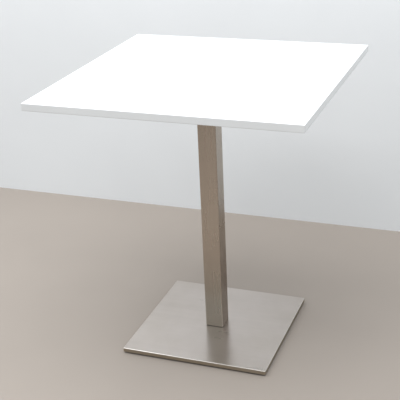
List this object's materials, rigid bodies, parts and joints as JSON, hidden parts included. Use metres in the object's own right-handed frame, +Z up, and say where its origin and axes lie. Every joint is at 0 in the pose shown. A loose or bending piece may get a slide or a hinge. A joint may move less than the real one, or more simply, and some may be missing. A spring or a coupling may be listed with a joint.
{
  "type": "bistro table",
  "caption": "Square table with a white laminated top on a brushed square steel column, bolted to a flat ballasted square base that stands on screw-adjusted glides.",
  "frame": {"origin": "on the floor, under the middle of the column", "axes": "+Z up along the column, +X along the front edge to the right, +Y from the front edge to the back"},
  "size_m": [0.68, 0.68, 0.74],
  "materials": {
    "core_board": "bare particle board",
    "white_laminate": "satin white high-pressure laminate with a fine grain",
    "backing_laminate": "matt off-white backing laminate",
    "edge_banding": "satin white plastic edge banding",
    "zinc_insert": "yellow zinc plating",
    "black_coated_steel": "fine-textured black powder coat",
    "zinc_screw": "bright zinc plating",
    "brushed_column": "stainless steel brushed along its length",
    "mild_steel": "bare mild steel, welded in",
    "black_gasket": "matt black rubber",
    "brushed_base": "satin stainless steel brushed along X",
    "black_nylon": "matt moulded nylon"
  },
  "bodies": {
    "table": {"core_board": "core_board", "top_laminate": "white_laminate", "backing_laminate": "backing_laminate", "edge_band_front": "edge_banding", "edge_band_back": "edge_banding", "edge_band_left": "edge_banding", "edge_band_right": "edge_banding", "threaded_inserts": "zinc_insert", "spider_plate": "black_coated_steel", "spider_screws": "zinc_screw", "top_screws": "zinc_screw", "top_screw_washers": "zinc_screw", "column_tube": "brushed_column", "column_head_plate": "mild_steel", "column_foot_plate": "mild_steel", "column_foot_gasket": "black_gasket", "base_cover": "brushed_base", "ballast_plate": "black_coated_steel", "base_screws": "zinc_screw"},
    "glide_pad_front_left": {"glide_pad_front_left": "black_nylon"},
    "glide_screw_front_left": {"glide_screw_front_left": "zinc_screw"},
    "glide_pad_front_right": {"glide_pad_front_right": "black_nylon"},
    "glide_screw_front_right": {"glide_screw_front_right": "zinc_screw"},
    "glide_pad_back_left": {"glide_pad_back_left": "black_nylon"},
    "glide_screw_back_left": {"glide_screw_back_left": "zinc_screw"},
    "glide_pad_back_right": {"glide_pad_back_right": "black_nylon"},
    "glide_screw_back_right": {"glide_screw_back_right": "zinc_screw"}
  },
  "joints": [
    {"name": "glide_front_left_turn", "type": "hinge", "parent": "glide_pad_front_left", "child": "glide_screw_front_left", "pos_m": [-0.172, -0.172, 0], "axis": [0, 0, -1], "range_deg": [0, 1152]},
    {"name": "glide_front_left_travel", "type": "slide", "parent": "table", "child": "glide_pad_front_left", "axis": [0, 0, -1], "range_m": [0, 0.004]},
    {"name": "glide_front_right_turn", "type": "hinge", "parent": "glide_pad_front_right", "child": "glide_screw_front_right", "pos_m": [0.172, -0.172, 0], "axis": [0, 0, -1], "range_deg": [0, 1152]},
    {"name": "glide_front_right_travel", "type": "slide", "parent": "table", "child": "glide_pad_front_right", "axis": [0, 0, -1], "range_m": [0, 0.004]},
    {"name": "glide_back_left_turn", "type": "hinge", "parent": "glide_pad_back_left", "child": "glide_screw_back_left", "pos_m": [-0.172, 0.172, 0], "axis": [0, 0, -1], "range_deg": [0, 1152]},
    {"name": "glide_back_left_travel", "type": "slide", "parent": "table", "child": "glide_pad_back_left", "axis": [0, 0, -1], "range_m": [0, 0.004]},
    {"name": "glide_back_right_turn", "type": "hinge", "parent": "glide_pad_back_right", "child": "glide_screw_back_right", "pos_m": [0.172, 0.172, 0], "axis": [0, 0, -1], "range_deg": [0, 1152]},
    {"name": "glide_back_right_travel", "type": "slide", "parent": "table", "child": "glide_pad_back_right", "axis": [0, 0, -1], "range_m": [0, 0.004]}
  ],
  "couplings": [
    {"joint": "glide_front_left_turn", "follows": "glide_front_left_travel", "rad_per_m": 5026.5},
    {"joint": "glide_front_right_turn", "follows": "glide_front_right_travel", "rad_per_m": 5026.5},
    {"joint": "glide_back_left_turn", "follows": "glide_back_left_travel", "rad_per_m": 5026.5},
    {"joint": "glide_back_right_turn", "follows": "glide_back_right_travel", "rad_per_m": 5026.5}
  ]
}
